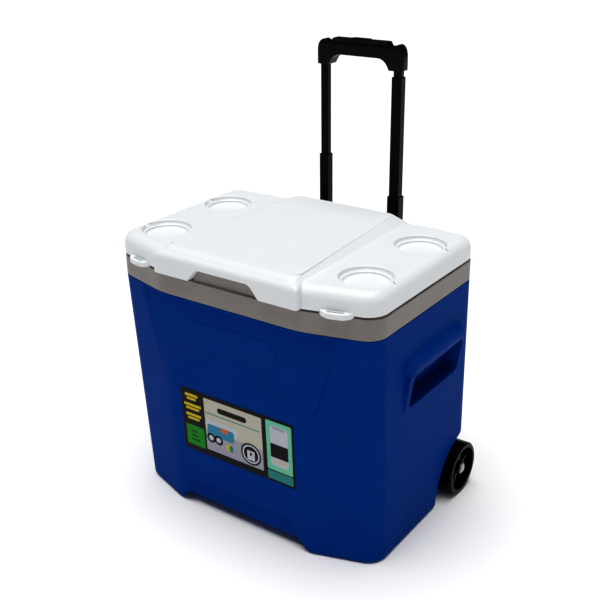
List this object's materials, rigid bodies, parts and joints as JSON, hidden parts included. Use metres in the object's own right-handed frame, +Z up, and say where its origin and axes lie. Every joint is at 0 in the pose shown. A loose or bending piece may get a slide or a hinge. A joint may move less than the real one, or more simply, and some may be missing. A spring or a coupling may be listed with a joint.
{
  "type": "cooler on wheels",
  "caption": "Insulated hard chest with a hinged lid, can recesses, side grips, wheels at the rear corners and a telescoping pull handle.",
  "frame": {"origin": "middle of the footprint, on the ground", "axes": "+X along the long front to the viewer's right, -Y out of the front, +Y to the pull handle, +Z up"},
  "size_m": [0.487, 0.3766, 0.7065],
  "materials": {
    "blue_shell": "satin",
    "foam": "matte",
    "white_plastic": "satin",
    "taupe_plastic": "satin",
    "label": "satin",
    "black_plastic": "satin",
    "steel": "satin",
    "black_tube": "satin"
  },
  "bodies": {
    "chest": {"outer_shell": "blue_shell", "foam_core": "foam", "food_liner": "white_plastic", "rim_collar": "taupe_plastic", "front_label": "label", "hinge_body_leaf_left": "white_plastic", "hinge_body_leaf_right": "white_plastic", "hinge_pins": "steel", "hinge_body_screws": "steel", "axle": "steel", "axle_washers": "steel", "axle_caps": "steel", "handle_top_bracket": "black_plastic", "handle_bottom_bracket": "black_plastic", "bracket_screws": "steel", "sleeve_left": "black_tube", "sleeve_right": "black_tube"},
    "lid": {"lid_shell": "white_plastic", "lid_liner": "white_plastic", "hinge_lid_leaf_left": "white_plastic", "hinge_lid_leaf_right": "white_plastic", "hinge_lid_screws": "steel"},
    "handle": {"inner_tube_left": "black_tube", "inner_tube_right": "black_tube", "tube_plugs": "black_plastic", "grip_shell": "black_plastic", "grip_bridge": "black_plastic", "grip_screws": "steel", "button_spring": "steel"},
    "outer_stage_left": {"outer_tube_left": "black_tube"},
    "outer_stage_right": {"outer_tube_right": "black_tube"},
    "mid_stage_left": {"mid_tube_left": "black_tube"},
    "mid_stage_right": {"mid_tube_right": "black_tube"},
    "button": {"release_button": "black_plastic", "release_yoke": "black_plastic"},
    "pin_left": {"lock_pin_left": "steel"},
    "pin_right": {"lock_pin_right": "steel"},
    "wheel_left": {"wheel_left": "black_plastic"},
    "wheel_right": {"wheel_right": "black_plastic"}
  },
  "joints": [
    {"name": "lid_hinge", "type": "hinge", "parent": "chest", "child": "lid", "pos_m": [0, 0.14025, 0.432], "axis": [-1, 0, 0], "range_deg": [0, 90]},
    {"name": "handle_slide", "type": "slide", "parent": "chest", "child": "handle", "axis": [0, 0, 1], "range_m": [-0.248, 0]},
    {"name": "mid_slide_left", "type": "slide", "parent": "chest", "child": "mid_stage_left", "axis": [0, 0, 1], "range_m": [-0.104, 0]},
    {"name": "mid_slide_right", "type": "slide", "parent": "chest", "child": "mid_stage_right", "axis": [0, 0, 1], "range_m": [-0.24201, 0]},
    {"name": "outer_slide_left", "type": "slide", "parent": "chest", "child": "outer_stage_left", "axis": [0, 0, 1], "range_m": [-0.01701, 0]},
    {"name": "outer_slide_right", "type": "slide", "parent": "chest", "child": "outer_stage_right", "axis": [0, 0, 1], "range_m": [-0.055, 0]},
    {"name": "button_press", "type": "slide", "parent": "handle", "child": "button", "axis": [0, 0, -1], "range_m": [0, 0.004], "stiffness_N_per_m": 1200, "springref_m": -0.002, "deforming": ["button_spring"]},
    {"name": "pin_slide_left", "type": "slide", "parent": "handle", "child": "pin_left", "axis": [-1, 0, 0], "range_m": [0, 0.0024]},
    {"name": "pin_slide_right", "type": "slide", "parent": "handle", "child": "pin_right", "axis": [1, 0, 0], "range_m": [0, 0.0024]},
    {"name": "wheel_spin_left", "type": "hinge", "parent": "chest", "child": "wheel_left", "pos_m": [-0.228, 0.11275, 0.044], "axis": [1, 0, 0], "continuous": true},
    {"name": "wheel_spin_right", "type": "hinge", "parent": "chest", "child": "wheel_right", "pos_m": [0.228, 0.11275, 0.044], "axis": [1, 0, 0], "continuous": true}
  ],
  "couplings": [
    {"joint": "mid_slide_left", "follows": "handle_slide", "ratio": 0.41935},
    {"joint": "mid_slide_right", "follows": "handle_slide", "ratio": 0.97581},
    {"joint": "outer_slide_left", "follows": "handle_slide", "ratio": 0.06855},
    {"joint": "outer_slide_right", "follows": "handle_slide", "ratio": 0.22177},
    {"joint": "pin_slide_left", "follows": "button_press", "ratio": 0.6},
    {"joint": "pin_slide_right", "follows": "button_press", "ratio": 0.6}
  ]
}
